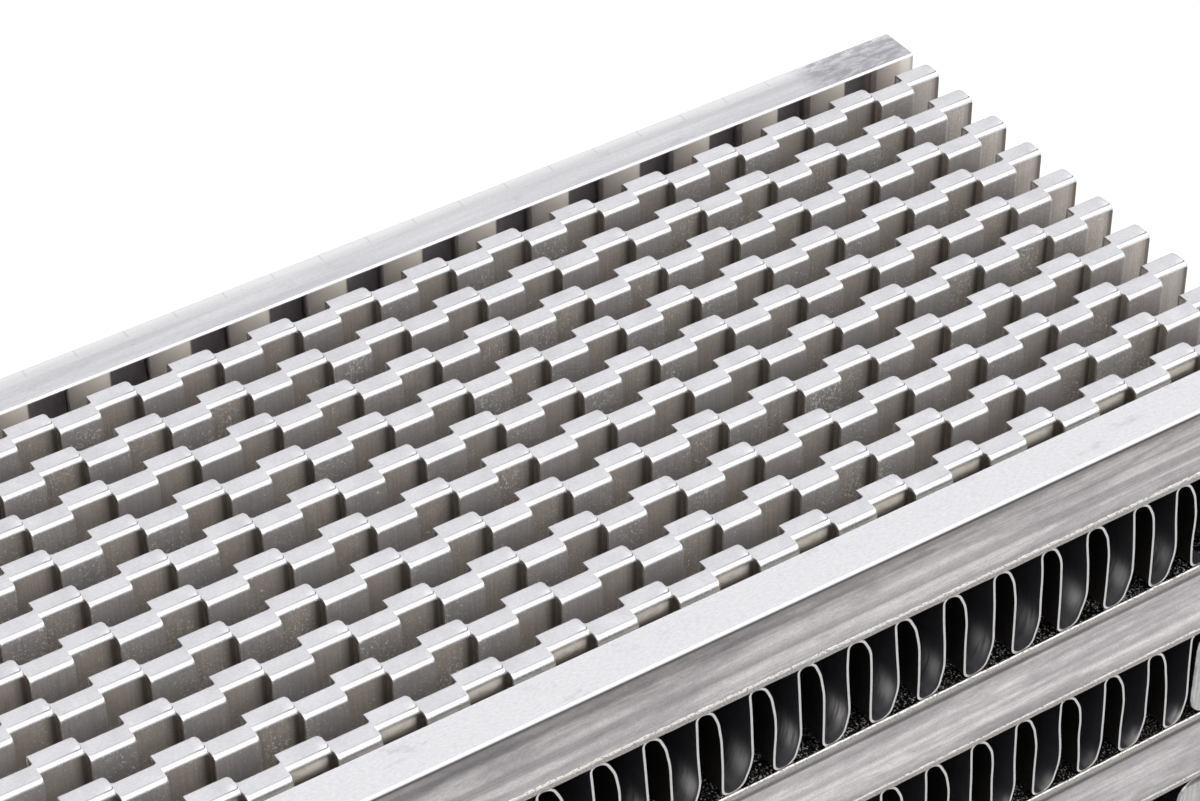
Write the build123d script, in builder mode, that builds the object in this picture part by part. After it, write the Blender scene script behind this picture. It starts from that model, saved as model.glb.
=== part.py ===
from build123d import *
import os
from math import ceil

os.makedirs("parts", exist_ok=True)

# Core of a bar-and-plate charge-air cooler, brazed from aluminium.
#
# Charge air flows along X through layers closed at front and back by two long bars.
# Cooling air flows along Y through layers closed at left and right by two short bars.
# The layers lie on one another along Z with a flat parting sheet between each two.
# The top charge-air layer has no sheet over it, so its lanced fin lies open.
# The origin is the middle of the bottom face. All sizes are millimetres.

# Driving dimensions: the whole core
core_length = 95.8  # along X
core_depth = 49.6  # along Y
layer_pairs = 3  # one charge-air layer over one cooling-air layer, repeated

# Driving dimensions: the sheets
sheet_thickness = 0.5
side_plate_thickness = 1.6  # the plate that closes the bottom of the stack

# Driving dimensions: the charge-air layers
charge_bar_width = 3.6
charge_bar_height = 6.1
charge_bar_chamfer = 0.3  # on its four long edges
charge_fin_gauge = 0.2
charge_fin_pitch = 4.2  # from crest to crest
charge_crest_width = 1.76  # outside
charge_fin_front_gap = 0.5  # from the front bar to the nearest crest
charge_fin_side_clearance = 0.1  # from either bar to the fin's flat edge
lance_length = 3.2
lance_offset = 0.85  # sideways, from the crests of one lance to those of the next

# Driving dimensions: the cooling-air layers
ambient_bar_width = 7.4
ambient_bar_height = 8.8
ambient_bar_nose_radius = 1.9
ambient_fin_gauge = 0.2
ambient_fin_pitch = 4.1
ambient_crest_flat = 1.35
ambient_root_flat = 1.1
ambient_fin_inset = 0.2  # from the core's front and back faces to the fin's edges
ambient_fin_end_gap = 0.2  # from the right nose to the fin's end; the slack is at the left

# Worked out: the stack
pair_height = charge_bar_height + ambient_bar_height + 2 * sheet_thickness
core_height = side_plate_thickness + layer_pairs * pair_height - sheet_thickness
charge_floors = [
    core_height - charge_bar_height - layer * pair_height for layer in range(layer_pairs)
]
ambient_floors = [
    floor - sheet_thickness - ambient_bar_height for floor in charge_floors
]

# Worked out: the space that each fin lies in
charge_wall_y = core_depth / 2 - charge_bar_width
ambient_wall_x = core_length / 2 - ambient_bar_width


def folded_sheet(start, end, folds, gauge, height):
    """Outline of a corrugated sheet seen end on, standing on its flat roots.

    start and end are where its first and last roots stop. Each fold is one crest, given by
    four places: the foot and the shoulder of the side that rises, then the shoulder and the
    foot of the side that falls.
    """
    upper = [(start, gauge)]
    lower = [(start, 0)]
    for rise_foot, rise_shoulder, fall_shoulder, fall_foot in folds:
        upper += [(rise_foot, gauge), (rise_shoulder, height)]
        upper += [(fall_shoulder, height), (fall_foot, gauge)]
        lower += [(rise_foot + gauge, 0), (rise_shoulder + gauge, height - gauge)]
        lower += [(fall_shoulder - gauge, height - gauge), (fall_foot - gauge, 0)]
    upper.append((end, gauge))
    lower.append((end, 0))
    return upper + lower[::-1]


def charge_folds(lean):
    """Folds of the charge-air fin, from front to back, with the crests set over by lean."""
    first_crest = charge_fin_front_gap + lance_offset / 2 - charge_wall_y
    room = charge_wall_y - first_crest - charge_crest_width - lance_offset / 2
    rows = int(room // charge_fin_pitch) + 1
    folds = []
    for row in range(rows):
        front = first_crest + row * charge_fin_pitch
        back = front + charge_crest_width
        folds.append((front, front + lean, back + lean, back))
    return folds


def charge_fin_strip(x_start, length, floor, lean):
    """One straight run of the charge-air fin, which lies along X."""
    edge = charge_wall_y - charge_fin_side_clearance
    outline = folded_sheet(-edge, edge, charge_folds(lean), charge_fin_gauge, charge_bar_height)
    end_plane = Plane(origin=(x_start, 0, floor), x_dir=(0, 1, 0), z_dir=(1, 0, 0))
    with BuildPart() as strip:
        with BuildSketch(end_plane):
            with BuildLine():
                Polyline(*outline, close=True)
            make_face()
        extrude(amount=length)
    return strip.part


def lanced_charge_fin(floor):
    """The open fin: crests pushed forward in one lance, back in the next, over one root line."""
    strips = []
    for lance in range(ceil(core_length / lance_length)):
        x_start = lance * lance_length - core_length / 2
        length = min(lance_length, core_length / 2 - x_start)
        side = -1 if lance % 2 == 0 else 1
        strips.append(charge_fin_strip(x_start, length, floor, side * lance_offset / 2))
    with BuildPart() as fin:
        add(strips)
    return fin.part


def charge_bar(side, floor):
    """Long bar that closes a charge-air layer; side is -1 at the front and 1 at the back."""
    with BuildPart() as bar:
        with Locations((0, side * (charge_wall_y + charge_bar_width / 2), floor)):
            Box(
                core_length,
                charge_bar_width,
                charge_bar_height,
                align=(Align.CENTER, Align.CENTER, Align.MIN),
            )
        chamfer(bar.edges().filter_by(Axis.X), length=charge_bar_chamfer)
    return bar.part


def ambient_bar(side, floor):
    """Short round-nosed bar that closes a cooling-air layer; side is -1 left and 1 right."""
    x_middle = side * (ambient_wall_x + ambient_bar_width / 2)
    with BuildPart() as bar:
        with Locations((x_middle, 0, floor)):
            Box(
                ambient_bar_width,
                core_depth,
                ambient_bar_height,
                align=(Align.CENTER, Align.CENTER, Align.MIN),
            )
        nose_face = bar.faces().sort_by(Axis.X)[0 if side > 0 else -1]
        fillet(nose_face.edges().filter_by(Axis.Y), radius=ambient_bar_nose_radius)
    return bar.part


def ambient_fin(floor, turned_over):
    """Serpentine fin of a cooling-air layer, which lies along Y from face to face."""
    room = 2 * (ambient_wall_x - ambient_fin_end_gap)
    crests = int((room - ambient_root_flat) // ambient_fin_pitch)
    slope = (ambient_fin_pitch - ambient_crest_flat - ambient_root_flat) / 2
    end = ambient_wall_x - ambient_fin_end_gap
    start = end - crests * ambient_fin_pitch - ambient_root_flat
    folds = []
    for crest in range(crests):
        rise_foot = start + ambient_root_flat + crest * ambient_fin_pitch
        rise_shoulder = rise_foot + slope
        fall_shoulder = rise_shoulder + ambient_crest_flat
        folds.append((rise_foot, rise_shoulder, fall_shoulder, fall_shoulder + slope))
    outline = folded_sheet(start, end, folds, ambient_fin_gauge, ambient_bar_height)
    if turned_over:
        outline = [(x, ambient_bar_height - z) for x, z in outline]
    front = core_depth / 2 - ambient_fin_inset
    front_plane = Plane(origin=(0, -front, floor), x_dir=(1, 0, 0), z_dir=(0, -1, 0))
    with BuildPart() as fin:
        with BuildSketch(front_plane):
            with BuildLine():
                Polyline(*outline, close=True)
            make_face()
        extrude(amount=-2 * front)
    return fin.part


def flat_plate(bottom, thickness):
    """Plate as large as the core, such as a parting sheet."""
    with BuildPart() as plate:
        with BuildSketch(Plane.XY.offset(bottom)):
            Rectangle(core_length, core_depth)
        extrude(amount=thickness)
    return plate.part


def save(piece, name):
    """Label the piece and write it to its own file."""
    piece.label = name
    export_step(piece, f"parts/{name}.step")
    print(f"{name}: {piece.volume:.1f} mm3")


# The charge-air layers, from the top down
for layer, floor in enumerate(charge_floors, start=1):
    save(charge_bar(-1, floor), f"charge_bar_front_{layer}")
    save(charge_bar(1, floor), f"charge_bar_back_{layer}")
    save(flat_plate(floor - sheet_thickness, sheet_thickness), f"charge_sheet_{layer}")

# Only the open fin at the top is drawn with its lances; the closed layers show plain channels
save(lanced_charge_fin(charge_floors[0]), "charge_fin_1")
for layer, floor in enumerate(charge_floors[1:], start=2):
    save(charge_fin_strip(-core_length / 2, core_length, floor, lean=0), f"charge_fin_{layer}")

# The cooling-air layers, from the top down; every second fin is turned over
for layer, floor in enumerate(ambient_floors, start=1):
    save(ambient_bar(-1, floor), f"ambient_bar_left_{layer}")
    save(ambient_bar(1, floor), f"ambient_bar_right_{layer}")
    save(ambient_fin(floor, turned_over=layer % 2 == 0), f"ambient_fin_{layer}")

# A sheet lies under each cooling-air layer, and a thicker plate under the last
for layer, floor in enumerate(ambient_floors[:-1], start=1):
    save(flat_plate(floor - sheet_thickness, sheet_thickness), f"ambient_sheet_{layer}")
save(flat_plate(0, side_plate_thickness), "side_plate")
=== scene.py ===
# %% [markdown]
# # A bar-and-plate charge-air cooler core
#
# The core of this cooler is a stack of flat layers, brazed together in a furnace. Hot charge
# air runs along X in the layers that two long bars close. Cooling air runs along Y in the
# layers that two short, round-nosed bars close. Thin parting sheets keep the two apart, and
# folded fins fill every layer. The top layer has no sheet over it, so its lanced fin lies open.
#
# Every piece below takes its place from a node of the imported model, so the first step is to
# load that model and to keep its size for later.

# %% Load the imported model
import math
from functools import partial

import bmesh
import bpy
import numpy as np
from mathutils import Matrix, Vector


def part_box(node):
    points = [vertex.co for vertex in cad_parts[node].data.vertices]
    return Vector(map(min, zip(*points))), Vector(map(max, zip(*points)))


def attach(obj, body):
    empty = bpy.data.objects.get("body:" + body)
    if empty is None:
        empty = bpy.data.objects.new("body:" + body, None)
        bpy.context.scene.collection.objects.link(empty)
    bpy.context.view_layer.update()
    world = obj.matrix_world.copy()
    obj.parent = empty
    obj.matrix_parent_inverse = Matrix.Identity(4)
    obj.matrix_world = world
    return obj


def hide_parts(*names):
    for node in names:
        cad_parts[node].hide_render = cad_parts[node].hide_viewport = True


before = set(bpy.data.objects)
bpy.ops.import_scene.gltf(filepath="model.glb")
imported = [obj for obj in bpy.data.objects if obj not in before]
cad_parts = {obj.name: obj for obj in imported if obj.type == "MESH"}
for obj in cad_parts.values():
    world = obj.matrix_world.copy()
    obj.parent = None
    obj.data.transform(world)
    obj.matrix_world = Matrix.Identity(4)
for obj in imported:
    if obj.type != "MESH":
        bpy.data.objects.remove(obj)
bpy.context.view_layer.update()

# %% [markdown]
# ## Sizes
#
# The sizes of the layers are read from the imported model, and only what it doesn't hold, such
# as the gauge of a fin, is written down here. Lengths are millimetres until a mesh is made,
# because that is how sheet metal is measured.

# %% Sizes in millimetres
MM = 0.001


def node_box(name):
    """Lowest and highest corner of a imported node, in millimetres."""
    low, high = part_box(name)
    return np.array(low) / MM, np.array(high) / MM


lance_length = 3.2  # an eighth of an inch, a common length of tool
lance_step = 0.85  # sideways, from one lance to the next
charge_gauge = 0.2
charge_pitch = 4.2
charge_rows = 10
charge_crest_width = 1.76
charge_first_crest = -20.275  # front edge of the first crest, halfway between the two lances
charge_edge = 21.1  # where the strip's flat edges end, a little short of the bars

ambient_gauge = 0.18
ambient_pitch = 4.1

back_bar_low, back_bar_high = node_box("charge_bar_back_1")
bar_left, bar_right = back_bar_low[0], back_bar_high[0]
bar_inner_face, bar_outer_face = back_bar_low[1], back_bar_high[1]

# %% [markdown]
# ## From arrays to a mesh
#
# A mesh is a list of points and a list of faces. The points come from numpy as one array, so
# all that is left is to hand them over, to turn every closed shell's faces outwards, and to
# shade it smooth where faces meet at a small angle. The Weighted Normal modifier lets large
# faces stay flat next to small rounded ones. Numbers that a material needs at each point, such
# as its height in a layer, go along as attributes.

# %% One mesh from arrays
def new_object(name, data):
    """Object that shows a mesh, a lamp or a camera, linked to the scene."""
    thing = bpy.data.objects.new(name, data)
    bpy.context.scene.collection.objects.link(thing)
    return thing


def make_piece(name, points, faces, materials, face_material=None, marks=None, sharp=40):
    """Mesh object from points in millimetres and lists of corner numbers."""
    mesh = bpy.data.meshes.new(name)
    mesh.from_pydata((np.asarray(points) * MM).tolist(), [], faces)
    for material in materials:
        mesh.materials.append(material)
    if face_material is not None:
        mesh.polygons.foreach_set("material_index", np.asarray(face_material, np.int32))
    for label, values in (marks or {}).items():
        mesh.attributes.new(label, "FLOAT", "POINT").data.foreach_set(
            "value", np.asarray(values, np.float32)
        )
    shell = bmesh.new()
    shell.from_mesh(mesh)
    bmesh.ops.recalc_face_normals(shell, faces=shell.faces)
    shell.to_mesh(mesh)
    shell.free()
    mesh.shade_smooth()
    mesh.set_sharp_from_angle(angle=math.radians(sharp))
    piece = new_object(name, mesh)
    weighted = piece.modifiers.new("flat faces stay flat", "WEIGHTED_NORMAL")
    weighted.keep_sharp = True
    return piece


def stand_for(piece, node):
    """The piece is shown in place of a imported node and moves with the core."""
    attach(piece, "root")
    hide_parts(node)
    print(f"{piece.name}: {len(piece.data.polygons)} faces")


# %% [markdown]
# ## Rounded paths
#
# Bent sheet and extruded bar have one thing in common: straight runs that meet in arcs. A
# Bevel modifier would give all corners one radius. One function turns the corners of an outline
# into arcs instead, each with its own radius, for one outline or a whole stack of them.

# %% Round the corners of a path
def rounded_path(corners, radii, steps):
    """Arcs in place of the corners of a closed outline; corners are (..., n, 2).

    The arc at a corner touches both runs at radius / tan(a / 2) from it, where a is the angle
    between the runs, and its middle is on the line that halves a, at radius / sin(a / 2).
    The points in between turn evenly from the first touching point to the second.
    """
    corners = np.asarray(corners, float)
    radii = np.broadcast_to(np.asarray(radii, float), corners.shape[:-1])[..., None]
    to_last = np.roll(corners, 1, -2) - corners
    to_next = np.roll(corners, -1, -2) - corners
    to_last /= np.linalg.norm(to_last, axis=-1, keepdims=True)
    to_next /= np.linalg.norm(to_next, axis=-1, keepdims=True)
    between = np.arccos(np.clip((to_last * to_next).sum(-1, keepdims=True), -1, 1))
    halfway = to_last + to_next
    halfway /= np.linalg.norm(halfway, axis=-1, keepdims=True)
    middle = corners + halfway * radii / np.sin(between / 2)
    first = corners + to_last * radii / np.tan(between / 2) - middle
    last = corners + to_next * radii / np.tan(between / 2) - middle
    turn = np.pi - between[..., None, :]
    share = np.linspace(0, 1, steps)[:, None]
    arcs = (
        np.sin((1 - share) * turn) * first[..., None, :] + np.sin(share * turn) * last[..., None, :]
    ) / np.sin(turn)
    return middle[..., None, :] + arcs


square = rounded_path([[0, 0], [2, 0], [2, 1], [0, 1]], 0.3, 5)
print("a rounded square has", square.shape[0], "arcs of", square.shape[1], "points")


# %% Sheet and ends of a path
def two_sides(path, gauge):
    """Outline of a sheet: its middle line moved half the gauge along its normal, both ways."""
    along = np.gradient(path, axis=-2)
    along /= np.linalg.norm(along, axis=-1, keepdims=True)
    normal = np.stack([-along[..., 1], along[..., 0]], -1) * gauge / 2
    return np.concatenate([path + normal, (path - normal)[..., ::-1, :]], -2)


def wrap_faces(stations, ring):
    """Quads round a closed ring, repeated at each station; a number is station * ring + place."""
    station = np.arange(stations - 1)[:, None] * ring
    place = np.arange(ring)[None, :]
    beside = (place + 1) % ring
    return np.stack(
        [station + place, station + beside, station + ring + beside, station + ring + place], -1
    ).reshape(-1, 4)


def strip_faces(stations, ring):
    """Quads round a strip of sheet and across its two cut ends, and which of them are cut."""
    skin, place = wrap_faces(stations, ring), np.arange(ring // 2 - 1)
    cut = np.stack([place, place + 1, ring - 2 - place, ring - 1 - place], -1)
    faces = np.vstack([skin, cut, cut + (stations - 1) * ring])
    return faces, np.hstack([np.zeros(len(skin)), np.ones(2 * len(cut))])


def smoothed(values, width, axis):
    """Running mean along an axis, weighted by a bell of the given width in points."""
    window = np.hanning(width) / np.hanning(width).sum()
    return np.apply_along_axis(np.convolve, axis, values, window, "same")


print("a ring of 8 points at 3 stations has", len(wrap_faces(3, 8)), "faces")

# %% [markdown]
# ## Colours and nodes
#
# Colours are written as sRGB hex values, as from a swatch, and one function turns them to the
# linear values that the renderer counts in. A second small function adds a node, sets it and
# links it, which keeps each recipe short. Patterns are noise, stretched along the piece where
# rolling, drawing or sawing left lines, and their sizes are given in millimetres.

# %% Helpers for materials
def linear(swatch):
    """Linear colour of an sRGB hex value: straight below 0.04045, else a power of 2.4."""
    srgb = np.array([int(swatch[i : i + 2], 16) for i in (1, 3, 5)]) / 255
    return (*np.where(srgb <= 0.04045, srgb / 12.92, ((srgb + 0.055) / 1.055) ** 2.4), 1.0)


def add_node(tree, kind, inputs=(), output=0, stops=(), **settings):
    """Add a node, set it, fill its sockets with values or links, and return one of its outputs.

    Inputs are a list in the order of the sockets, or a dictionary of sockets. Stops are the
    places and greys of a colour ramp.
    """
    node = tree.nodes.new("ShaderNode" + kind)
    for name, value in settings.items():
        setattr(node, name, value)
    for socket, value in inputs.items() if isinstance(inputs, dict) else enumerate(inputs):
        if isinstance(value, bpy.types.NodeSocket):
            tree.links.new(value, node.inputs[socket])
        else:
            node.inputs[socket].default_value = value
    for number, (place, grey) in enumerate(stops):
        elements = node.color_ramp.elements
        stop = elements[number] if number < 2 else elements.new(place)
        stop.position, stop.color = place, (grey, grey, grey, 1)
    return node.outputs[output] if len(node.outputs) else None


def new_material(name):
    """An empty material, and the function that adds a node to it."""
    material = bpy.data.materials.new(name)
    material.use_nodes = True
    material.node_tree.nodes.clear()
    return material, partial(add_node, material.node_tree)


def noise_of_size(add, sizes_mm, detail, roughness=0.6, bend=0.0):
    """Noise on Object coordinates: a scale of 1000 / size makes lumps of so many millimetres."""
    place = add("TexCoord", output="Object")
    at = add("Mapping", {"Vector": place, "Scale": [1000 / size for size in sizes_mm]})
    return add(
        "TexNoise",
        {"Vector": at, "Scale": 1.0, "Detail": detail, "Roughness": roughness, "Distortion": bend},
    )


# A Mix of colours takes its share at socket 0 and its colours at 6 and 7; the result is output 2
in_colour = {"output": 2, "data_type": "RGBA"}
smooth_step = {"interpolation_type": "SMOOTHSTEP"}
print("mid grey #808080 is", round(float(linear("#808080")[0]), 3), "in linear light")

# %% [markdown]
# ## Fin stock
#
# The fins are folded from soft aluminium strip, 0.2 mm thick. Rolling leaves it bright but not
# polished, the folding tool drags fine lines over it in the direction of the fold, and the
# brazing furnace turns it a little matt and warm. Grit from the braze stays on the walls.
#
# An image of the finish would be quick, but it would stretch and repeat. Here the marks are
# laid over the metal one by one, and the piece's own attributes say where they lie: its height
# in the layer, creases and burnished edges, the walls near the slits, the first row's walls and
# the roots. Several marks are painted light and shade: painted shade in the creases, a painted
# highlight on the burnished edges, a painted dark reflection on the walls near the slits,
# painted light and shadow on the first row's walls and painted glints in the roots. The colour
# is metal * (1 - share) + mark * share.

# %% Marks of the tool and of the furnace, and painted light and shade
# Share of a painted highlight, by height, on the first row's walls
first_row_highlight_by_height = ((0.72, 0.0), (0.8, 0.25), (0.87, 1.0), (0.91, 1.0), (0.95, 0.0))


def fin_marks(add, height, on_wall, forward, root_glint, dark_reflection, first_row_light_and_shade, grit):
    """Shares of painted root glint, specks of braze, and the first row's painted shadow and
    highlight.

    A speck is where fine noise plus 0.35 of coarse noise passes the value of grit.
    """
    # A root glint is a painted highlight, streaked along the fold by this noise
    streak = add("MapRange", [noise_of_size(add, (3, 0.3, 3), 3.0), 0.22, 0.5])
    root_glint = add("Math", [root_glint, streak], operation="MULTIPLY")
    # Lumps of braze are 0.05 to 0.2 mm across
    coarse, fine = noise_of_size(add, (6, 6, 6), 1.0), noise_of_size(add, (0.13, 0.13, 0.15), 1.0)
    speck = add("Math", [coarse, 0.35, fine], operation="MULTIPLY_ADD")
    speck = add("MapRange", [speck, grit, grit + 0.03])
    clear = add("Math", [on_wall, dark_reflection], operation="SUBTRACT", use_clamp=True)
    speck = add("Math", [speck, clear], operation="MULTIPLY")
    # Painted shadow on the walls of the first row's set-back lances
    below = add("MapRange", [height, 0.9, 0.72], **smooth_step)
    set_back = add("Math", [first_row_light_and_shade, forward], operation="SUBTRACT", use_clamp=True)
    below = add("Math", [below, set_back], operation="MULTIPLY")
    # Painted highlight near the top of the first row's walls
    first_row_highlight = add("ValToRGB", [height], stops=first_row_highlight_by_height)
    ragged = add("MapRange", [noise_of_size(add, (1.2, 1.2, 0.6), 3.0), 0.25, 0.5, 0.3, 1.0])
    for factor in (first_row_light_and_shade, ragged):
        first_row_highlight = add("Math", [first_row_highlight, factor], operation="MULTIPLY")
    return root_glint, speck, below, first_row_highlight


print("share of first-row painted highlight by height in the layer:", *first_row_highlight_by_height)


# %% Rolled aluminium fin stock
def fin_stock(name, crest_colour, wall_colour, painted_inner_side, grit, line_mm, wall_metal, painted_low_light_and_shade):
    """Crests are matt and clean; walls carry the tool's lines, a thin oxide and specks of braze.

    The wall's colour is scaled by painted_low_light_and_shade at a quarter of the height, and by 1
    near the crest: painted shade low in the channel below 1, painted light above 1.
    """
    material, add = new_material(name)
    height, forward, inner, root_glint, burnish_and_highlight, crease, dark_reflection, first_row_light_and_shade = (
        add("Attribute", output="Fac", attribute_name=label)
        for label in (
            "height", "forward", "inside", "root_glint", "burnish_and_highlight", "crease", "dark_reflection", "first_row_light_and_shade"
        )
    )
    on_crest = add("MapRange", [height, 0.955, 0.99], **smooth_step)
    on_wall = add("Math", [1.0, on_crest], operation="SUBTRACT", use_clamp=True)
    root_glint, speck, below, first_row_highlight = fin_marks(
        add, height, on_wall, forward, root_glint, dark_reflection, first_row_light_and_shade, grit
    )
    lines = add("MapRange", [noise_of_size(add, line_mm, 4.0), 0.34, 0.66])
    scored = add("Math", [lines, on_wall], operation="MULTIPLY")

    metal = linear(wall_colour)
    # The inner side's colour is painted light on the charge-air fin, painted shade on the
    # cooling-air fin
    for share, colour in ((forward, "#CDC8C7"), (inner, painted_inner_side)):
        metal = add("Mix", {0: share, 6: metal, 7: linear(colour)}, **in_colour)
    # Painted shade low in the channel where the factor is below 1, painted light where it is above
    deep = add("MapRange", [height, 0.25, 0.85, painted_low_light_and_shade, 1.0])
    metal = add("VectorMath", {0: metal, "Scale": deep}, operation="SCALE")
    metal = add("Mix", {0: on_crest, 6: metal, 7: linear(crest_colour)}, **in_colour)
    # Rolled grain is about 0.05 mm wide; it is drawn three times as coarse so that it shows
    grain = add("MapRange", [noise_of_size(add, (0.3, 0.13, 0.2), 3.0), 0.3, 0.7, 0.91, 1.06])
    tarnish = add("MapRange", [noise_of_size(add, (2.2, 2.2, 2.2), 3.0), 0.3, 0.7, 0.92, 1.06])
    drag = add("MapRange", [scored, 0.0, 1.0, 1.04, 0.89])
    for factor in (grain, tarnish, drag):
        metal = add("VectorMath", {0: metal, "Scale": factor}, operation="SCALE")
    # The dark crease colour is painted shade in the crease behind the front edge
    for share, colour in (
        (root_glint, "#FFFAF2"), (burnish_and_highlight, "#FAFAFC"), (crease, "#3E3E4A"), (speck, "#EDEAE4"),
        (dark_reflection, "#7A716B"), (below, "#6E655F"), (first_row_highlight, "#FFF8EE"),
    ):
        metal = add("Mix", {0: share, 6: metal, 7: linear(colour)}, **in_colour)

    rough = add("MapRange", [lines, 0.0, 1.0, 0.36, 0.44])
    rough = add("Mix", {0: burnish_and_highlight, 2: rough, 3: 0.14})
    dust = speck
    for share in (root_glint, first_row_highlight):
        dust = add("Math", [dust, share], operation="MAXIMUM")
    metallic = add("MapRange", [on_crest, 0.0, 1.0, wall_metal, 1.0])
    metallic = add("Math", [metallic, dust], operation="SUBTRACT", use_clamp=True)
    relief = add("Bump", {"Strength": 0.2, "Distance": 0.03 * MM, "Height": scored})
    surface = add(
        "BsdfPrincipled",
        {"Base Color": metal, "Metallic": metallic, "Roughness": rough, "Normal": relief},
    )
    add("OutputMaterial", {"Surface": surface})
    return material


# The tool's lines stand upright on the charge-air fin and run along Y on the cooling-air fin.
# They are about 0.05 mm apart, and drawn three to five times as coarse so that they show. The
# cooling-air walls are dark and bluish as painted shade of their deep channels, and so clean
# that no speck reaches a grit value of 2. The inner side is painted light on the charge-air fin
# and painted shade on the cooling-air fin.
charge_fin_stock = fin_stock(
    "rolled aluminium fin stock", "#DBDADE", "#D6CDC6", "#F7EEE4",
    grit=0.84, line_mm=(0.16, 6, 6), wall_metal=0.5, painted_low_light_and_shade=0.72,
)
ambient_fin_stock = fin_stock(
    "rolled aluminium fin stock, thin", "#A8A5A3", "#6E6E74", "#45413E",
    grit=2.0, line_mm=(6, 0.25, 8), wall_metal=0.96, painted_low_light_and_shade=1.7,
)
print(charge_fin_stock.name, "and", ambient_fin_stock.name)

# %% [markdown]
# ## Sheared edge
#
# The edge of a fin is where the strip was sheared, so it is bare metal, brighter and smoother
# than the faces. A bevel would be too small to see on 0.2 mm of metal, so the edge only gets
# its own material, with the burr of the shear as slow changes in gloss.

# %% Sheared edge
def sheared_edge():
    """Bare aluminium, a little brighter and rougher wherever the burr stands up."""
    material, add = new_material("sheared aluminium edge")
    burr = noise_of_size(add, (0.6, 0.6, 0.6), 4.0, roughness=0.5)
    rough = add("MapRange", [burr, 0.3, 0.7, 0.3, 0.5])
    metal = add("Mix", {0: burr, 6: linear("#D2D1D4"), 7: linear("#F2F0EE")}, **in_colour)
    surface = add("BsdfPrincipled", {"Base Color": metal, "Metallic": 1.0, "Roughness": rough})
    add("OutputMaterial", {"Surface": surface})
    return material


cut_edge = sheared_edge()
print(cut_edge.name)

# %% [markdown]
# ## Bars
#
# The bars are extruded aluminium. The die leaves long faint bands, the furnace and a wipe with
# flux leave stains, and handling leaves small dark spots. The saw leaves upright lines on the
# ends, and the tops are ground flat. Brushed metal is often made with an anisotropic shader,
# but these bands are wide enough to see one by one, so they are noise, far longer than wide.

# %% Noise that lies along a bar
def cloud_on_bar(
    add, along, sizes_mm, detail, roughness, low, high, to_low=0.0, to_high=1.0, bend=0.0
):
    """Noise with sizes along the bar, across it and up; a smooth step stretches low..high."""
    run, across, up = sizes_mm
    turned = (run, across, up) if along == "x" else (across, run, up)
    cloud = noise_of_size(add, turned, detail, roughness, bend)
    return add("MapRange", [cloud, low, high, to_low, to_high], **smooth_step)


# Draw lines are a few hundredths of a millimetre wide, and drawn twice as wide to show
draw_line = (7, 0.07, 0.07)
print("a draw line in mm:", *draw_line)


# %% Upright faces of a bar
band, streak = (90, 0.9, 0.9), (45, 0.13, 0.13)


def extruded_side(add, along, x, height, shades, dark, light, lean):
    """Bands, streaks, stain and sawn ends, times a shade that is looked up by height.

    The height wanders by a few percent along the bar, so the shades swell and thin out, and it
    rises evenly towards the left, by as much as lean.
    """
    cloud = partial(cloud_on_bar, add, along)
    bands = cloud(band, 3.0, 0.5, 0.34, 0.66)
    streaks = cloud(streak, 3.0, 0.6, 0.3, 0.7)
    stain = cloud((9, 1.7, 1.7), 6.0, 0.62, 0.44, 0.62, to_high=0.5, bend=0.5)
    side = add("Mix", {0: bands, 6: linear(dark), 7: linear(light)}, **in_colour)
    side = add("Mix", {0: 0.22, 6: side, 7: streaks}, blend_type="SOFT_LIGHT", **in_colour)
    side = add("Mix", {0: stain, 6: side, 7: linear("#ABA7AC")}, **in_colour)

    kerf = cloud((1, 0.16, 6), 4.0, 0.6, 0.3, 0.7)
    sawn = add("Mix", {0: kerf, 6: linear("#B9B6B6"), 7: linear("#DCDAD9")}, **in_colour)
    normal = add("NewGeometry", output="Normal")
    at_end = add("SeparateXYZ", [normal], output=along.upper())
    at_end = add("Math", [at_end], operation="ABSOLUTE")
    at_end = add("MapRange", [at_end, 0.9, 0.97])
    side = add("Mix", {0: at_end, 6: side, 7: sawn}, **in_colour)

    wander = cloud((4, 1.0, 1.0), 5.0, 0.65, 0.25, 0.75, -0.06, 0.08, bend=0.5)
    if lean:
        leaning = add("MapRange", [x, 32 * MM, -10 * MM, 0.0, lean])
        wander = add("Math", [wander, leaning], operation="ADD")
    wandered = add("Math", [height, wander], operation="ADD", use_clamp=True)
    shade = add("ValToRGB", [wandered], stops=shades)
    side = add("Mix", {0: 1.0, 6: side, 7: shade}, blend_type="MULTIPLY", **in_colour)
    # The die's own grain is finer than 0.1 mm; it is drawn just coarse enough to show
    gritty = cloud((0.16, 0.12, 0.12), 3.0, 0.6, 0.3, 0.7, 0.9, 1.06)
    mottle = cloud((1.1, 0.5, 0.5), 6.0, 0.72, 0.3, 0.7, 0.9, 1.06)
    for factor in (gritty, mottle):
        side = add("VectorMath", {0: side, "Scale": factor}, operation="SCALE")
    # A painted shadow line just below the rounded top edge
    shadow_under_edge = add("MapRange", [height, 0.925, 0.95, 0.0, 0.7])
    return add("Mix", {0: shadow_under_edge, 6: side, 7: linear("#3C3836")}, **in_colour)


print("a band and a streak in mm:", band, streak)

# %% [markdown]
# The ground top is nearly white, with a fine grain and grey smudges. The back bar is duller: it
# has streaks from the grinding belt, a painted highlight that pales its outer edge, and a
# blotched end where it was held. Object coordinates place all of it, so one material serves
# both bars.

# %% Ground top of a bar
highlit_width, held_length = 1.6, 10.4


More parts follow.
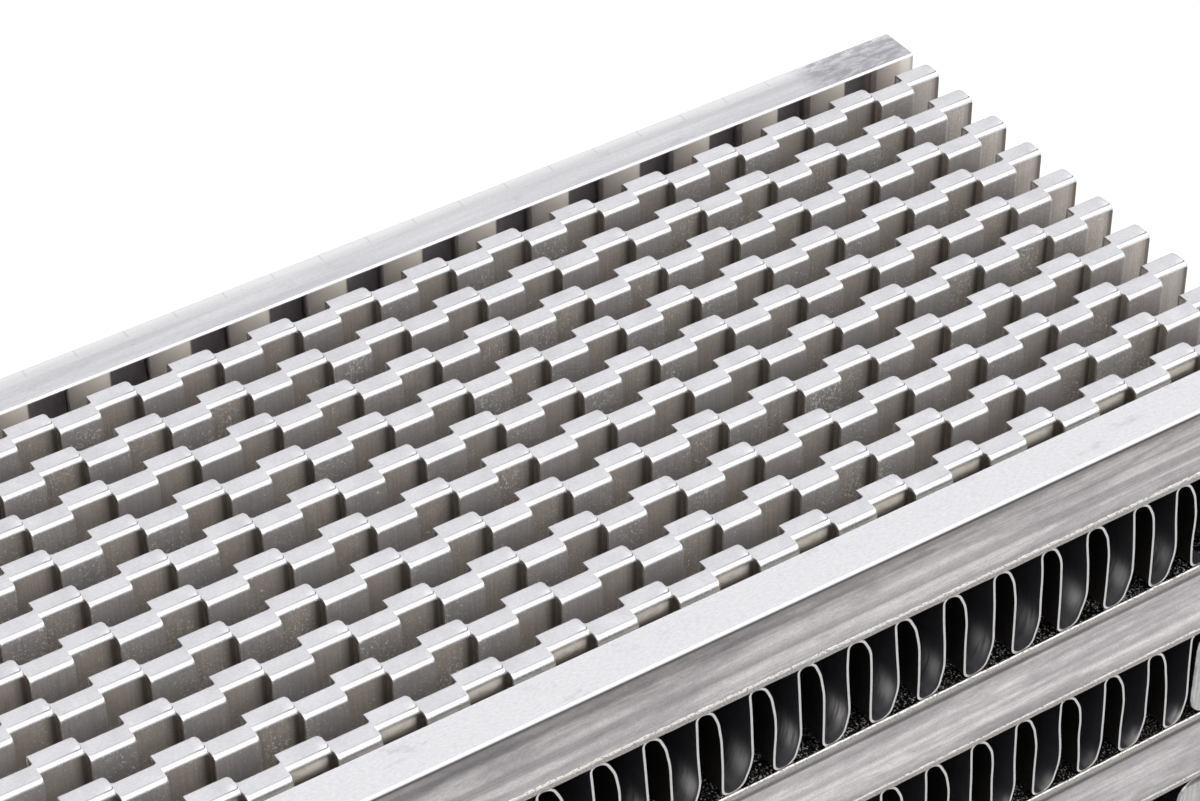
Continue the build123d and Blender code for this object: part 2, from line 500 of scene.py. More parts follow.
def ground_top(add, along, x, y):
    """Fine grain and smudges; the long bar at the back also has streaks, a painted pale edge, a
    blotch.
    """
    cloud = partial(cloud_on_bar, add, along)
    grain = cloud((0.35, 0.16, 0.16), 5.0, 0.7, 0.25, 0.75)
    smudge = cloud((3.2, 1.6, 1.6), 6.0, 0.7, 0.54, 0.74, to_high=0.55)
    ground = add("Mix", {0: grain, 6: linear("#DBDBDF"), 7: linear("#EFEFF2")}, **in_colour)
    marks = [(smudge, "#B4B2B8")]
    if along == "x":
        at_back = add("Math", [y, 0.0], operation="GREATER_THAN")
        belt = cloud((14, 0.7, 0.7), 4.0, 0.6, 0.3, 0.7, 0.2, 0.6)
        belt = add("Math", [belt, at_back], operation="MULTIPLY")
        # The pale outer edge is a painted highlight
        highlit_from, highlit_to = (bar_outer_face - highlit_width) * MM, (bar_outer_face - 0.1) * MM
        highlit = add("MapRange", [y, highlit_from, highlit_to, 0.0, 0.7], **smooth_step)
        held_from, held_to = (bar_right - held_length) * MM, (bar_right - 7.4) * MM
        held = add("MapRange", [x, held_from, held_to], **smooth_step)
        blotch = cloud((1.5, 0.5, 0.5), 6.0, 0.72, 0.38, 0.62, 0.15, 0.8, bend=0.5)
        for factor in (blotch, at_back):
            held = add("Math", [held, factor], operation="MULTIPLY")
        marks += [(belt, "#B9B7BC"), (highlit, "#F6F6F8"), (held, "#9A98A0")]
    for share, colour in marks:
        ground = add("Mix", {0: share, 6: ground, 7: linear(colour)}, **in_colour)
    return ground


print("worn edge", highlit_width, "mm wide, blotched end", held_length, "mm long")

# %% [markdown]
# The inner face of a long bar is smooth, and bright patches are painted on it between the places
# where the fin stands close to it, once for each pair of lances: a painted reflection of the
# fin's lit back walls. Along the outer edge of the top there are faint marks at even distances,
# as a setting gauge leaves.

# %% Patches and marks at even distances
patch_spacing, gauge_spacing = 2 * lance_length, 3.99


def painted_reflection_patches(add, x, y):
    """Shares of the inner face and of the bright patches painted on it as a reflection.

    The place in a pair of lances is ((x - left end) modulo pair) / pair, from 0 to 1.
    """
    depth = add("Math", [y], operation="ABSOLUTE")
    inner = add("Math", [depth, (bar_inner_face + 0.2) * MM], operation="LESS_THAN")
    place = add("Math", [x, -bar_left * MM], operation="ADD")
    for operation in ("FLOORED_MODULO", "DIVIDE"):
        place = add("Math", [place, patch_spacing * MM], operation=operation)
    patch = add(
        "ValToRGB", [place],
        stops=(
            (0.0, 0.1), (0.38, 0.0), (0.42, 0.4), (0.6, 0.65), (0.86, 1.0), (0.905, 1.0),
            (0.93, 0.15),
        ),
    )
    return inner, add("Math", [patch, inner], operation="MULTIPLY")


def gauge_marks(add, x, y, top):
    """Share of the marks, where x is within 0.04 to 0.09 mm of a multiple of the spacing."""
    off = add("Math", [x, gauge_spacing * MM / 2], operation="PINGPONG")
    line = add("MapRange", [off, 0.04 * MM, 0.09 * MM, 1.0, 0.0])
    near_edge = add(
        "MapRange", [y, (bar_outer_face - 1.1) * MM, (bar_outer_face - 0.8) * MM, 0.0, 0.22]
    )
    for factor in (near_edge, top):
        line = add("Math", [line, factor], operation="MULTIPLY")
    return line


print("patches every", patch_spacing, "mm, gauge marks every", gauge_spacing, "mm")


# %% Extruded aluminium bar
def extruded_bar(name, along, shades, dark, light, lean=0.0):
    """Upright faces and top are mixed by the normal; spots and burnished edges lie over both.
    The burnished edges are partly a painted highlight.
    """
    material, add = new_material(name)
    cloud = partial(cloud_on_bar, add, along)
    x = add("SeparateXYZ", [add("TexCoord", output="Object")])
    y = x.node.outputs["Y"]
    upward = add("SeparateXYZ", [add("NewGeometry", output="Normal")], output="Z")
    top = add("MapRange", [upward, 0.90, 0.995], **smooth_step)
    height = add("Attribute", output="Fac", attribute_name="height")
    burnish_and_highlight = add("Attribute", output="Fac", attribute_name="burnish_and_highlight")
    hair = cloud(draw_line, 4.0, 0.7, 0.2, 0.8)
    spot = cloud((0.55, 0.4, 0.4), 2.0, 0.6, 0.73, 0.79, to_high=0.7)

    side = extruded_side(add, along, x, height, shades, dark, light, lean)
    ground = ground_top(add, along, x, y)
    rough = add("MapRange", [hair, 0.0, 1.0, 0.16, 0.28])
    metallic = 1.0
    marks = [(spot, "#4E4947"), (burnish_and_highlight, "#FBFBFC")]
    if along == "x":
        inner, painted_light_share = painted_reflection_patches(add, x, y)
        # The cream patches are a painted reflection of the fin's lit back walls
        smooth = add("Mix", {0: painted_light_share, 6: linear("#BDBAC0"), 7: linear("#FFF8EE")}, **in_colour)
        side = add("Mix", {0: inner, 6: side, 7: smooth}, **in_colour)
        rough = add("Mix", {0: inner, 2: rough, 3: 0.08})
        metallic = add("Math", [painted_light_share, -0.8, 1.0], operation="MULTIPLY_ADD")
        marks.insert(0, (gauge_marks(add, x, y, top), "#8F8C93"))
    metal = add("Mix", {0: top, 6: side, 7: ground}, **in_colour)
    for share, colour in marks:
        metal = add("Mix", {0: share, 6: metal, 7: linear(colour)}, **in_colour)
    for share, gloss in ((top, 0.36), (burnish_and_highlight, 0.12)):
        rough = add("Mix", {0: share, 2: rough, 3: gloss})
    upright = add("Math", [1.0, top], operation="SUBTRACT")
    scored = add("Math", [hair, upright], operation="MULTIPLY")
    relief = add("Bump", {"Strength": 0.2, "Distance": 0.006 * MM, "Height": scored})
    surface = add(
        "BsdfPrincipled",
        {"Base Color": metal, "Metallic": metallic, "Roughness": rough, "Normal": relief},
    )
    add("OutputMaterial", {"Surface": surface})
    return material


top_bar_metal = extruded_bar(
    "extruded aluminium bar, ground top", "x",
    ((0.0, 0.7), (0.06, 0.84), (0.12, 1.05), (0.45, 0.98), (0.65, 0.88), (0.82, 0.76), (0.96, 0.5)),
    "#BDB8B9", "#F0EAE9", lean=0.16,
)
long_bar_metal = extruded_bar(
    "extruded aluminium bar", "x",
    ((0.0, 0.72), (0.08, 0.78), (0.18, 0.82), (0.26, 1.0), (0.74, 1.0), (0.84, 0.84), (0.95, 0.74)),
    "#D2CDCF", "#FAF4F2",
)
short_bar_metal = extruded_bar(
    "extruded aluminium bar, across", "y", ((0.0, 1.0), (1.0, 1.0)), "#ADABAD", "#D3D1D3"
)
for material in (top_bar_metal, long_bar_metal, short_bar_metal):
    print(material.name, "has", len(material.node_tree.nodes), "nodes")

# %% [markdown]
# ## Brazing sheet
#
# The parting sheets carry a skin of braze alloy. In the furnace it melts, runs into the joints
# and freezes in small bright lumps, so the sheets look gritty and glitter at their edges. There
# are too many lumps to model, so noise draws them, and the mesh only gets an uneven edge.

# %% Aluminium brazing sheet
def brazing_sheet():
    """Flat faces are dark, a painted shade of the channel floors, with frozen specks of braze; the
    rounded edges are bright.
    """
    material, add = new_material("aluminium brazing sheet")
    facing = add("SeparateXYZ", [add("NewGeometry", output="Normal")], output="Z")
    facing = add("Math", [facing], operation="ABSOLUTE")
    flat = add("MapRange", [facing, 0.93, 0.99])
    grit = noise_of_size(add, (0.12, 0.16, 0.14), 2.0)
    speck = add("MapRange", [grit, 0.585, 0.64])
    shade = add("MapRange", [grit, 0.3, 0.62])
    # The dark face colour is painted shade of the channel floors
    face = add("Mix", {0: speck, 6: linear("#433C38"), 7: linear("#FFFFFF")}, **in_colour)
    edge = add("Mix", {0: shade, 6: linear("#8E8886"), 7: linear("#C8C4C2")}, **in_colour)
    metal = add("Mix", {0: flat, 6: edge, 7: face}, **in_colour)
    rough = add("Mix", {0: flat, 2: 0.22, 3: 0.35})
    lit = add("Math", [speck, flat], operation="MULTIPLY")
    metallic = add("Math", [lit, -0.7, 1.0], operation="MULTIPLY_ADD")
    relief = add("Bump", {"Strength": 0.5, "Distance": 0.05 * MM, "Height": grit})
    surface = add(
        "BsdfPrincipled",
        {"Base Color": metal, "Metallic": metallic, "Roughness": rough, "Normal": relief},
    )
    add("OutputMaterial", {"Surface": surface})
    return material


sheet_metal = brazing_sheet()
print(sheet_metal.name)


# %% Frozen braze
def frozen_braze():
    """Aluminium-silicon that froze in lumps: bright and smooth, with darker pits between."""
    material, add = new_material("frozen aluminium-silicon braze")
    lump = noise_of_size(add, (0.22, 0.13, 0.13), 3.0)
    bright = add("MapRange", [lump, 0.36, 0.48])
    metal = add("Mix", {0: bright, 6: linear("#958D86"), 7: linear("#FCF8F2")}, **in_colour)
    relief = add("Bump", {"Strength": 0.4, "Distance": 0.05 * MM, "Height": lump})
    surface = add(
        "BsdfPrincipled",
        {"Base Color": metal, "Metallic": 0.7, "Roughness": 0.25, "Normal": relief},
    )
    add("OutputMaterial", {"Surface": surface})
    return material


braze = frozen_braze()
print(braze.name)

# %% [markdown]
# ## The lanced charge-air fins
#
# A lanced fin is a corrugated strip whose folds are slit every few millimetres and pushed
# sideways, to and fro, so that the air meets a fresh edge at each lance. It could be made from
# one cell and an Array modifier, but then every cell would be the same. Here each lance is the
# same rounded corrugation, shifted, with the places where the tool draws the metal round. The
# whole fin is one array of lances by stations by points.

# %% Corrugation of one lance
def charge_corrugation(height, steps, shoulder):
    """Middle line of the corrugation, and a row of five marks for each of its points.

    The corners stand at the feet and shoulders of each crest, and rounded_path() gives the
    arcs. Three more points on each crest, just behind its front edge, carry the crease that
    the tool presses there, and one below the edge stops the burnish from running down. The
    marks are the crease, the crest's back half, its front edge, the front walls and the first
    front wall.
    """
    half = charge_gauge / 2
    front = charge_first_crest + charge_pitch * np.arange(charge_rows) + half
    back = front + charge_crest_width - charge_gauge
    top, foot = np.full(charge_rows, height - half), np.full(charge_rows, half)
    corners = np.stack(
        [
            np.stack([front, foot], -1), np.stack([front, top], -1),
            np.stack([back, top], -1), np.stack([back, foot], -1),
        ],
        1,
    )
    ends = np.array([[-charge_edge, half], [charge_edge, half]])
    outline = np.vstack([ends[:1], corners.reshape(-1, 2), ends[1:]])
    radii = np.hstack([0.05, np.tile([0.25, shoulder, 0.14, 0.25], charge_rows), 0.05])
    arcs = rounded_path(outline, radii, steps)[1:-1].reshape(charge_rows, 4, steps, 2)
    under = arcs[:, 1, :1] - [[0, 0.03]]
    behind_edge = arcs[:, 1, -1:] + np.array([[0.02, 0], [0.09, 0], [0.17, 0]])
    path = np.concatenate([arcs[:, 0], under, arcs[:, 1], behind_edge, arcs[:, 2], arcs[:, 3]], 1)
    marks = np.zeros((*path.shape[:2], 5))
    crease, back_half, edge, walls, first = range(5)
    marks[:, 2 * steps + 2, crease] = 1
    marks[:, 2 * steps + 4 :, back_half] = 1
    marks[:, steps + 1 : 2 * steps + 1, edge] = 1
    marks[:, : steps + 1, walls] = 1
    marks[0, : steps + 1, first] = 1
    flat = np.zeros((1, 5))
    return (
        np.vstack([ends[:1], path.reshape(-1, 2), ends[1:]]),
        np.vstack([flat, marks.reshape(-1, 5), flat]),
    )


print("points in a corrugation:", len(charge_corrugation(6.1, 4, 0.165)[0]))

# %% [markdown]
# The punch moves a lance by half a step, but the metal near the slits stays behind, is drawn
# round, and is pressed and polished. The polished edges also carry a painted highlight, a painted
# dark reflection lies on the walls near the slits, and the first row's walls get painted light
# and shade. Lances set forward and lances set back meet the tool from different sides, so each
# has its own row of shares.

# %% Shares at the eight stations of a lance
crisp_shoulder, soft_shoulder = 0.165, 0.6  # radii in mm
crease_depth = 0.05
lance_stations = [0, 0.03, 0.08, 0.7, 0.84, 0.92, 0.97, 1]  # from its left to its right end
# For each: the row of a lance set forward, then the row of a lance set back
lance_shares = {
    "front stays": ([0, 0, 0, 0, 0, 0, 0.03, 0.15], [0.1, 0.03, 0, 0, 0, 0, 0, 0]),
    "back stays": ([0.6, 0.15, 0, 0, 0, 0, 0.05, 0.25], [0, 0, 0, 0, 0, 0, 0.12, 0.6]),
    "droop": ([0.5, 0.1, 0, 0, 0, 0, 0.05, 0.4], [0.4, 0.08, 0, 0, 0, 0, 0.05, 0.4]),
    "press": ([0, 0.05, 0.15, 0.2, 0.2, 0.15, 0.1, 0], [0, 0.1, 0.15, 0.35, 0.7, 1, 1, 0.9]),
    "shine": ([0, 0.9, 1, 1, 1, 1, 0.9, 0], [0, 0.9, 1, 1, 1, 1, 0.9, 0]),
    # Share of a painted dark reflection: the open end of the next lance, mirrored in the wall
    "dark_reflection_share": ([0, 0, 0, 0, 0, 0, 0.1, 0.2], [0, 0, 0, 0.05, 0.45, 1, 1, 0.9]),
    # Share of painted light and shade on the first row's walls
    "painted_light_share": ([0.5, 0.6, 0.6, 0.6, 0.6, 0.6, 0.5, 0.4], [0.3, 0.7, 1, 1, 0.6, 0, 0, 0]),
}
print("stations:", len(lance_stations), "shares:", *lance_shares)


# %% Fin of one charge-air layer
def lanced_fin(node, steps, seed, drawn):
    """Corrugation shifted by half a step forwards in even lances and backwards in odd ones.

    y = profile + side * step / 2 * (1 - the share that stays behind) + a little chance, and
    z = profile - crease depth * press. Where the lance droops, its profile changes by that
    share from the one with crisp shoulders to the one with soft shoulders. A fin that isn't
    drawn is only shifted, with two stations to a lance.
    """
    low, high = node_box(node)
    tall = high[2] - low[2]
    crisp, marks = charge_corrugation(tall, steps, crisp_shoulder)
    soft, _ = charge_corrugation(tall, steps, soft_shoulder)
    crisp, soft = two_sides(crisp, charge_gauge), two_sides(soft, charge_gauge)
    crease, back_half, edge, walls, first = np.vstack([marks, marks[::-1]]).T
    start = np.arange(low[0], high[0] - 0.01, lance_length)
    length = np.minimum(lance_length, high[0] - start)
    side = np.where(np.arange(len(start)) % 2 == 0, -1.0, 1.0)
    chance = np.random.default_rng(seed)

    station = np.array(lance_stations if drawn else [0, 1.0])
    share = {
        name: np.where(side[:, None] > 0, [back], [forward])[:, :, None]
        if drawn else np.zeros((len(start), 2, 1))
        for name, (forward, back) in lance_shares.items()
    }
    stays = share["front stays"] * (1 - back_half) + share["back stays"] * back_half
    shift = side[:, None, None] * lance_step / 2 * (1 - stays)
    shift = shift + chance.normal(0, 0.012, (len(start), 1, 1))
    moves = np.ones(len(crisp))
    moves[[0, len(marks) - 1, len(marks), -1]] = 0
    ring = crisp + share["droop"][..., None] * (soft - crisp)
    x = start[:, None] + station * length[:, None]
    y = ring[..., 0] + shift * moves
    z = low[2] + ring[..., 1] - crease_depth * share["press"] * crease
    points = np.stack(np.broadcast_arrays(x[:, :, None], y, z), -1).reshape(-1, 3)

    stations, around = len(station), len(crisp)
    cell, is_cut = strip_faces(stations, around)
    faces = (cell + (np.arange(len(start)) * stations * around)[:, None, None]).reshape(-1, 4)
    fin = make_piece(
        f"lanced_{node}", points, faces.tolist(), [charge_fin_stock, cut_edge],
        np.tile(is_cut, len(start)),
        {
            "crease": (share["press"] * crease).ravel(),
            # A burnished front edge is near-white: partly real burnish, partly a painted highlight
            "burnish_and_highlight": (share["shine"] * edge).ravel(),
            "dark_reflection": (share["dark_reflection_share"] * walls).ravel(),
            # The first row's walls get painted light and shade
            "first_row_light_and_shade": (share["painted_light_share"] * first).ravel(),
            "forward": np.broadcast_to(side[:, None, None] < 0, y.shape).ravel(),
            "inside": np.broadcast_to(np.arange(around) >= around // 2, y.shape).ravel(),
            "height": (points[:, 2] - low[2]) / tall,
        },
    )
    stand_for(fin, node)


lanced_fin("charge_fin_1", 4, 11, drawn=True)
for layer, seed in ((2, 12), (3, 13)):
    lanced_fin(f"charge_fin_{layer}", 3, seed, drawn=False)

# %% [markdown]
# ## The serpentine cooling-air fins
#
# The cooling-air fin is one strip, folded to and fro between round crests and roots. No two
# folds are quite alike, because the strip is only pushed together by hand before brazing. A
# curve with handles could be bent to that shape by eye. Here it is worked out from seven
# corners to a fold, so that pitch and height stay true, and small seeded chances move them.

# %% Fold line
def fold_line(chance, low_x, high_x, top, half, last_fold):
    """Middle line of the strip, walked at an even pace, and the left side of each fold.

    Each fold rises from a root that slopes up, leans back a little, turns tightly into its
    crest, leaves it over a long shoulder, and falls almost straight into the next root. A fin
    whose last fold starts close to the right nose starts and ends at the top, and the others
    start and end at the floor.
    """
    at_noses = last_fold < 1
    spare = 0.5 if at_noses else 1.2
    folds = int((high_x - last_fold - low_x - spare) // ambient_pitch) + 1
    left = high_x - last_fold - ambient_pitch * np.arange(folds)[::-1]
    left = left + chance.normal(0, 0.07, folds)
    # Bend of the rise, both ends of the crest, two bends of the shoulder, both ends of the root
    corner_x = np.array([0.42, 0.0, 1.15, 1.85, 2.12, 2.3, 3.92])
    corner_z = np.array([2.3, top, top, 7.2, 5.4, half, half])
    corners = np.empty((folds, 7, 2))
    corners[..., 0] = left[:, None] + corner_x + chance.normal(0, 0.05, (folds, 7))
    corners[..., 1] = corner_z
    radii = np.array([4.5, 0.45, 1.1, 3.5, 9.0, 0.7, 1.1]) * chance.uniform(0.85, 1.0, (folds, 7))
    corners, radii = corners.reshape(-1, 2), radii.ravel()
    if at_noses:
        corners, radii = corners[2:-5], radii[2:-5]
        corners[-2, 0] = high_x - 0.15
    keep = corners[:, 0] < high_x - 0.14
    end_z = top if at_noses else half
    ends = np.array([[low_x, end_z], [high_x, end_z]])
    outline = np.vstack([ends[:1], corners[keep], ends[1:]])
    arcs = rounded_path(outline, np.hstack([0.05, radii[keep], 0.05]), 9)[1:-1]
    bent = np.vstack([ends[:1], arcs.reshape(-1, 2), ends[1:]])
    walked = np.hstack([0, np.cumsum(np.linalg.norm(np.diff(bent, axis=0), axis=1))])
    even = np.linspace(0, walked[-1], int(walked[-1] / 0.22))
    return np.stack([np.interp(even, walked, bent[:, i]) for i in (0, 1)], -1), even, left


def sway_of(chance, even, walls, stations):
    """Sideways sway in millimetres, by station and point: chance every 2.6 mm, smoothed.

    Most of it is the same at every station. It fades towards crests and roots as the square
    root of sin(pi * height).
    """
    knots = np.arange(0, even[-1] + 3, 2.6)
    sway = np.stack(
        [np.interp(even, knots, chance.normal(0, 0.07, len(knots))) for _ in range(stations)]
    )
    sway = smoothed(0.94 * sway[:1] + 0.06 * sway, 15, 1)
    return sway * np.sin(np.pi * np.clip(walls, 0, 1)) ** 0.5


line, _, sides = fold_line(np.random.default_rng(0), -40, 40, 8.71, ambient_gauge / 2, 3.75)
print("a trial of 80 mm has", len(sides), "folds and", len(line), "points")


# %% Serpentine strip
def serpentine_fin(node, seed, last_fold, glint_height, glint_reach, glint_by_depth):
    """Fold line carried along Y, swayed by smooth chance, with painted glints in its roots.

    A root's painted glint is exp(-((height - glint height) / reach) squared), on the side that
    rises from it, as deep behind each face as glint_by_depth says.
    """
    low, high = node_box(node)
    chance = np.random.default_rng(seed)
    tall = high[2] - low[2]
    half = ambient_gauge / 2
    depth = np.array([0, 0.4, 0.9, 1.6, 2.6, 4.0])
    stations = np.hstack([low[1] + depth, 0, high[1] - depth[::-1]])
    path, even, left = fold_line(chance, low[0], high[0], tall - half, half, last_fold)
    sway = sway_of(chance, even, path[:, 1] / tall, len(stations))
    swayed = np.broadcast_to(path, (len(stations), *path.shape)).copy()
    swayed[:, :, 0] = np.clip(swayed[:, :, 0] + sway, low[0] + half, high[0] - half)
    ring = two_sides(swayed, ambient_gauge)
    y = np.broadcast_to(stations[:, None], ring.shape[:2])
    points = np.stack([ring[..., 0], y, low[2] + ring[..., 1]], -1).reshape(-1, 3)

    place = (path[:, 0] - left[0]) / ambient_pitch
    from_rise = (place - 0.45) % 1 - 0.55
    # The glint is a painted highlight on the side of the root that rises
    at_root = np.exp(-(((path[:, 1] - glint_height) / glint_reach) ** 2))
    at_root *= (from_rise > -0.22) * (from_rise < 0.15)
    folds = len(left)
    at_root *= np.interp(place, np.arange(folds) + 0.5, chance.uniform(0.35, 1.0, folds))
    root_glint = np.hstack([glint_by_depth, 0, glint_by_depth[::-1]])
    root_glint = root_glint[:, None] * np.hstack([at_root, 0 * at_root])

    around = ring.shape[1]
    faces, is_cut = strip_faces(len(stations), around)
    fin = make_piece(
        f"serpentine_{node}", points, faces.tolist(), [ambient_fin_stock, cut_edge], is_cut,
        {
            "height": np.clip((points[:, 2] - low[2]) / tall, 0, 0.9),
            "root_glint": root_glint.ravel(),
            "inside": np.broadcast_to(np.arange(around) >= around // 2, y.shape).ravel(),
        },
    )
    stand_for(fin, node)


# The last fold starts 3.75 or 0.4 mm before the right end of its fin. The top fin has its
# painted glints deep in its roots, the others low down at the faces.
serpentine_fin("ambient_fin_1", 21, 3.75, 1.7, 1.2, [0.1, 0.8, 1, 0.8, 0.1, 0])
serpentine_fin("ambient_fin_2", 22, 0.4, 0.6, 0.6, [1, 0.8, 0.2, 0, 0, 0])
serpentine_fin("ambient_fin_3", 23, 3.75, 0.6, 0.6, [1, 0.8, 0.2, 0, 0, 0])

# %% [markdown]
# ## Bars and sheets with rounded edges
#
# A sharp edge in a computer reflects nothing, while a real one has a small radius that catches
# the light. A Bevel modifier would do for the sheets, but the short bars have a large nose on
# one side only. So each piece is a rounded outline carried along it, and at both ends the
# outline shrinks by a quarter circle, which rounds the ends too.


# %% Rounded bar
def rounded_bar(
    name, node, along, radii, end, metal, spacing=8.0, rough=0.0, seed=0, shiny=(0, 0, 0, 0)
):
    """Outline with its own radius at each corner, repeated along the piece.

    At a distance e * (1 - sin a) from an end the outline is e * (1 - cos a) smaller all round.
    A rough piece has lumpy long edges. The corners in radii and shiny run from the bottom left
    one round to the top left one.
    """
    low, high = node_box(node)
    run, wide = (0, 1) if along == "x" else (1, 0)
    a = np.linspace(0, np.pi / 2, 4)
    count = max(2, int((high[run] - low[run]) / spacing))
    inner = np.linspace(low[run] + end, high[run] - end, count)
    station = np.hstack(
        [low[run] + end * (1 - np.sin(a[:0:-1])), inner, high[run] - end * (1 - np.sin(a[1:]))]
    )
    shrink = np.hstack([end * (1 - np.cos(a[:0:-1])), np.zeros(count), end * (1 - np.cos(a[1:]))])
    left, right, bottom, top = low[wide], high[wide], low[2], high[2]
    box = np.array([[left, bottom], [right, bottom], [right, top], [left, top]])
    inward = np.array([[1, 1], [-1, 1], [-1, -1], [1, -1]])
    corners = box + shrink[:, None, None] * inward
    ring = rounded_path(corners, np.maximum(np.array(radii) - shrink[:, None], 0.01), 5)
    ring = ring.reshape(len(station), -1, 2)
    if rough:
        lump = smoothed(np.random.default_rng(seed).normal(0, rough, ring.shape[:2]), 5, 0)
        edge_depth = 0.6
        at_edge = np.abs(ring[..., 0]) > np.abs(box[:, 0]).max() - edge_depth
        ring[..., 0] += lump * np.sign(ring[..., 0]) * at_edge
    points = np.empty((*ring.shape[:2], 3))
    points[..., run] = station[:, None]
    points[..., wide] = ring[..., 0]
    points[..., 2] = ring[..., 1]
    around = ring.shape[1]
    faces = wrap_faces(len(station), around).tolist()
    last = (len(station) - 1) * around
    faces += [list(range(around)), list(range(last, last + around))]
    # Shiny corners are burnished: partly real burnish, partly a painted highlight
    on_arc = np.array([0, 0.9, 1, 0.9, 0])
    shine = np.concatenate([on_arc * bright for bright in shiny])
    bar = make_piece(
        name, points.reshape(-1, 3), faces, [metal],
        marks={
            "burnish_and_highlight": np.broadcast_to(shine, ring.shape[:2]).ravel(),
            "height": (points[..., 2].ravel() - bottom) / (top - bottom),
        },
    )
    stand_for(bar, node)


for layer in (1, 2, 3):
    # The top layer's bars lie open, and their upper edges are rounder and burnished; the burnish
    # is partly a painted highlight.
    upper, metal, shiny = (
        (0.22, top_bar_metal, (0, 0, 1, 1)) if layer == 1
        else (0.12, long_bar_metal, (0, 0, 0, 0))
    )
    for side in ("front", "back"):
        node = f"charge_bar_{side}_{layer}"
        radii = [0.2, 0.2, upper, upper]
        rounded_bar(f"long_{node}", node, "x", radii, 0.12, metal, shiny=shiny)
    for side, nose in (("left", [0.3, 1.9, 1.9, 0.3]), ("right", [1.9, 0.3, 0.3, 1.9])):
        node = f"ambient_bar_{side}_{layer}"
        rounded_bar(f"short_{node}", node, "y", nose, 0.25, short_bar_metal)

# %% Sheets
for number, node in enumerate(
    ["charge_sheet_1", "charge_sheet_2", "charge_sheet_3", "ambient_sheet_1", "ambient_sheet_2"]
):
    rounded_bar(
        f"clad_{node}", node, "x", [0.12] * 4, 0.12, sheet_metal, 0.5, 0.012, 30 + number
    )
rounded_bar("clad_side_plate", "side_plate", "x", [0.4] * 4, 0.3, sheet_metal, 4.0)

# %% [markdown]
# ## Braze
#
# Where a long bar stands on its sheet, the melted braze is drawn into the joint and freezes
# there as a thin lumpy bead. A curve with a bevel would be an even pipe, so the bead is a tube
# whose radius wanders from point to point, sunk into the joint.


# %% Braze in the joints under the long bars
def braze_bead(node, radius, seed):
    """Two tubes along X, front and back; radius = r * (1 + 0.06 * lump), a point each 0.16 mm.

    A lump is chance of its own at each of eight turns, smoothed over five points, plus 5/8 of
    a chance shared by all turns, smoothed over eleven points.
    """
    low, high = node_box(node)
    chance = np.random.default_rng(seed)
    x = np.arange(low[0] + 0.1, high[0] - 0.1, 0.16)
    around = 8
    turn = np.linspace(0, 2 * np.pi, around + 1)[:-1]
    points, faces = [], []
    for number, side in enumerate((-1, 1)):
        lump = smoothed(chance.normal(0, 1, (around, len(x))), 5, 1).T
        lump = lump + 5 / 8 * smoothed(chance.normal(0, 1, len(x)), 11, 0)[:, None]
        reach = radius * (1 + 0.06 * lump)
        reach[[0, -1]] = 0.01
        y = side * (high[1] - 0.72 * radius) + reach * np.cos(turn)
        z = high[2] + 0.4 * radius + reach * np.sin(turn)
        points.append(np.stack(np.broadcast_arrays(x[:, None], y, z), -1).reshape(-1, 3))
        first = number * len(x) * around
        last = first + (len(x) - 1) * around
        faces += (wrap_faces(len(x), around) + first).tolist()
        faces += [list(range(first, first + around)), list(range(last, last + around))]
    bead = make_piece(f"braze_{node}", np.vstack(points), faces, [braze], sharp=60)
    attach(bead, "root")
    print(f"{bead.name}: {len(bead.data.polygons)} faces")


for node, radius, seed in (
    ("charge_sheet_1", 0.26, 41), ("charge_sheet_2", 0.18, 42), ("charge_sheet_3", 0.18, 43),
    ("ambient_sheet_1", 0.1, 44), ("ambient_sheet_2", 0.1, 45),
):
    braze_bead(node, radius, seed)

# %% [markdown]
# ## Floor, light and camera
#
# The core stands on white paper in a light tent; lengths are in metres from here on. An image
# of a studio could light it too, but in a plain tent all that metal mirrors is a bright wall.
# The paper glows a little where it is seen, so it stays white without more light on the part.

# %% Floor
def white_paper():
    """Matt white, plus a glow of 0.45 where the camera sees it and 0.15 where metal does."""
    material, add = new_material("white paper")
    diffuse = add("BsdfDiffuse", {"Color": linear("#E6E6E6"), "Roughness": 1.0})
    seen = add("Math", [add("LightPath", output="Is Camera Ray"), 0.45], operation="MULTIPLY")
    mirrored = add("LightPath", output="Is Glossy Ray")
    seen = add("Math", [mirrored, 0.15, seen], operation="MULTIPLY_ADD")
    glow = add("Emission", {"Color": (1, 1, 1, 1), "Strength": seen})
    add("OutputMaterial", {"Surface": add("AddShader", [diffuse, glow])})
    return material


half_side = 3.0
floor_mesh = bpy.data.meshes.new("floor")
floor_mesh.from_pydata(
    [(x * half_side, y * half_side, 0) for x, y in ((-1, -1), (1, -1), (1, 1), (-1, 1))],
    [], [(0, 1, 2, 3)],
)
floor_mesh.materials.append(white_paper())
floor = new_object("floor", floor_mesh)
print("floor in m:", *(round(side, 2) for side in floor.dimensions))

# %% [markdown]
# The tent's walls are white to the camera. Metal mirrors them a little darker low down, which
# gives each upright face a gradient. All else is lit by them at less than half, so that the
# lamps can draw shadows between the folds.

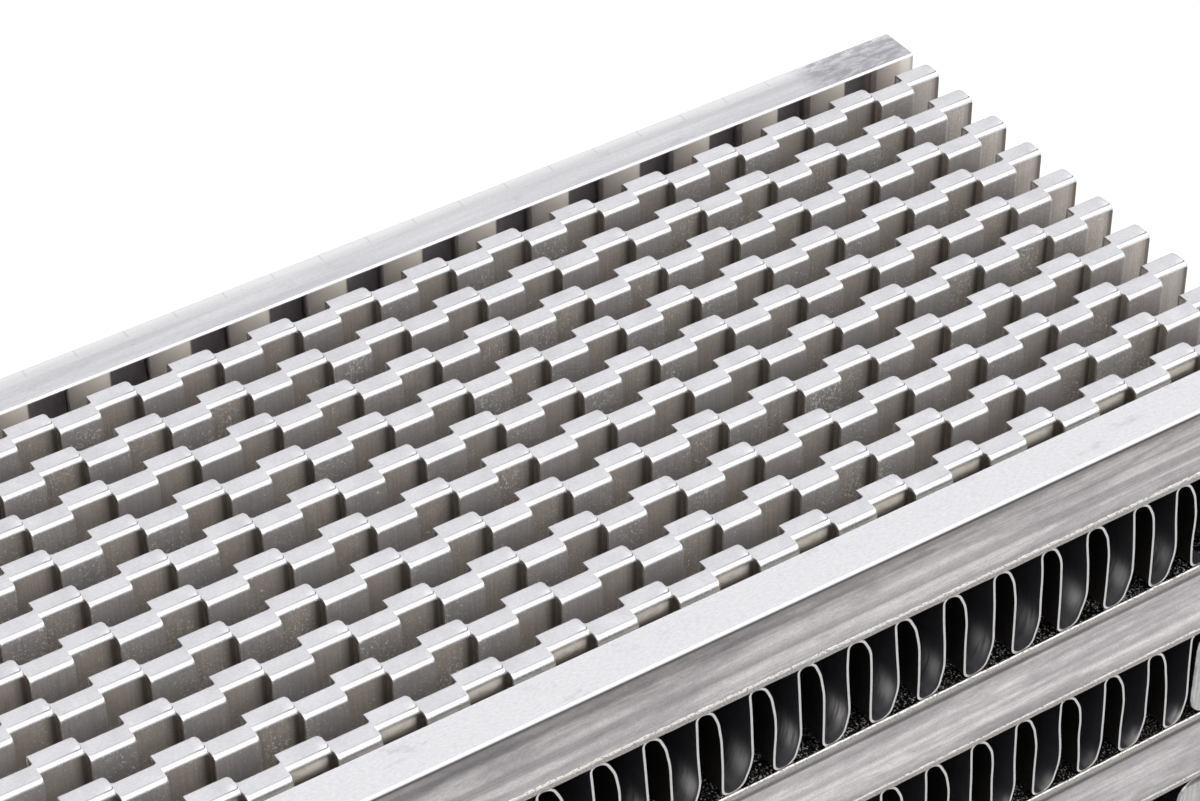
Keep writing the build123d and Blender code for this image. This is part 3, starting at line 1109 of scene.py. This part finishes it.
# %% World
world = bpy.data.worlds.new("light tent")
bpy.context.scene.world = world
world.use_nodes = True
world.node_tree.nodes.clear()
add = partial(add_node, world.node_tree)
up = add("SeparateXYZ", [add("TexCoord", output="Generated")], "Z")
tent_wall = add("MapRange", [up, 0.0, 0.45, 0.8, 1.0], **smooth_step)
in_metal = add("Mix", {0: add("LightPath", output="Is Glossy Ray"), 2: 0.45, 3: tent_wall})
strength = add("Mix", {0: add("LightPath", output="Is Camera Ray"), 2: in_metal, 3: 1.0})
tent = add("Background", {"Color": (1, 1, 1, 1), "Strength": strength})
add("OutputWorld", {"Surface": tent})
print("world:", world.name)

# %% [markdown]
# A large soft lamp hangs over the core, a little to the front and the right, so that every
# rounded edge draws a white line. A second one, lower and to the left, fills the front.


# %% Lamps
def soft_lamp(name, place, target, width, depth, radiance):
    """Area lamp; its power is radiance * pi * area, so its face shows that radiance."""
    lamp = bpy.data.lights.new(name, "AREA")
    lamp.shape = "RECTANGLE"
    lamp.size, lamp.size_y = width, depth
    lamp.energy = radiance * math.pi * width * depth
    holder = new_object(name, lamp)
    holder.location = place
    aim = np.array(target) - np.array(place)
    tilt = math.atan2(math.hypot(aim[0], aim[1]), -aim[2])
    holder.rotation_euler = (tilt, 0, -math.atan2(aim[0], aim[1]))
    print(f"{name}: {lamp.energy:.1f} W")


soft_lamp("overhead softbox", (0.25, -0.35, 0.65), (0.25, -0.35, 0.0), 1.3, 0.9, 1.2)
soft_lamp("front softbox", (-0.6, -0.85, 0.5), (0, 0, 0.04), 0.8, 0.5, 1.2)

# %% [markdown]
# The lens is long, as for any small part. The camera is turned about Z by its azimuth, tipped
# up by its elevation, and rolled about its own line of sight.

# %% Camera
camera_data = bpy.data.cameras.new("camera")
camera_data.sensor_fit = "HORIZONTAL"
camera_data.sensor_width = 36
camera_data.lens = 107.55
camera_data.clip_start = 0.01
camera = new_object("camera", camera_data)
azimuth, elevation, roll = (math.radians(angle) for angle in (-33.228, 39.441, -0.451))
turn = (
    Matrix.Rotation(azimuth, 4, "Z")
    @ Matrix.Rotation(math.radians(90) - elevation, 4, "X")
    @ Matrix.Rotation(roll, 4, "Z")
)
camera.matrix_world = Matrix.Translation((-0.10116, -0.16105, 0.20646)) @ turn
bpy.context.scene.camera = camera
bpy.context.scene.view_settings.view_transform = "Standard"
print("camera at", *(round(value, 3) for value in camera.matrix_world.translation))
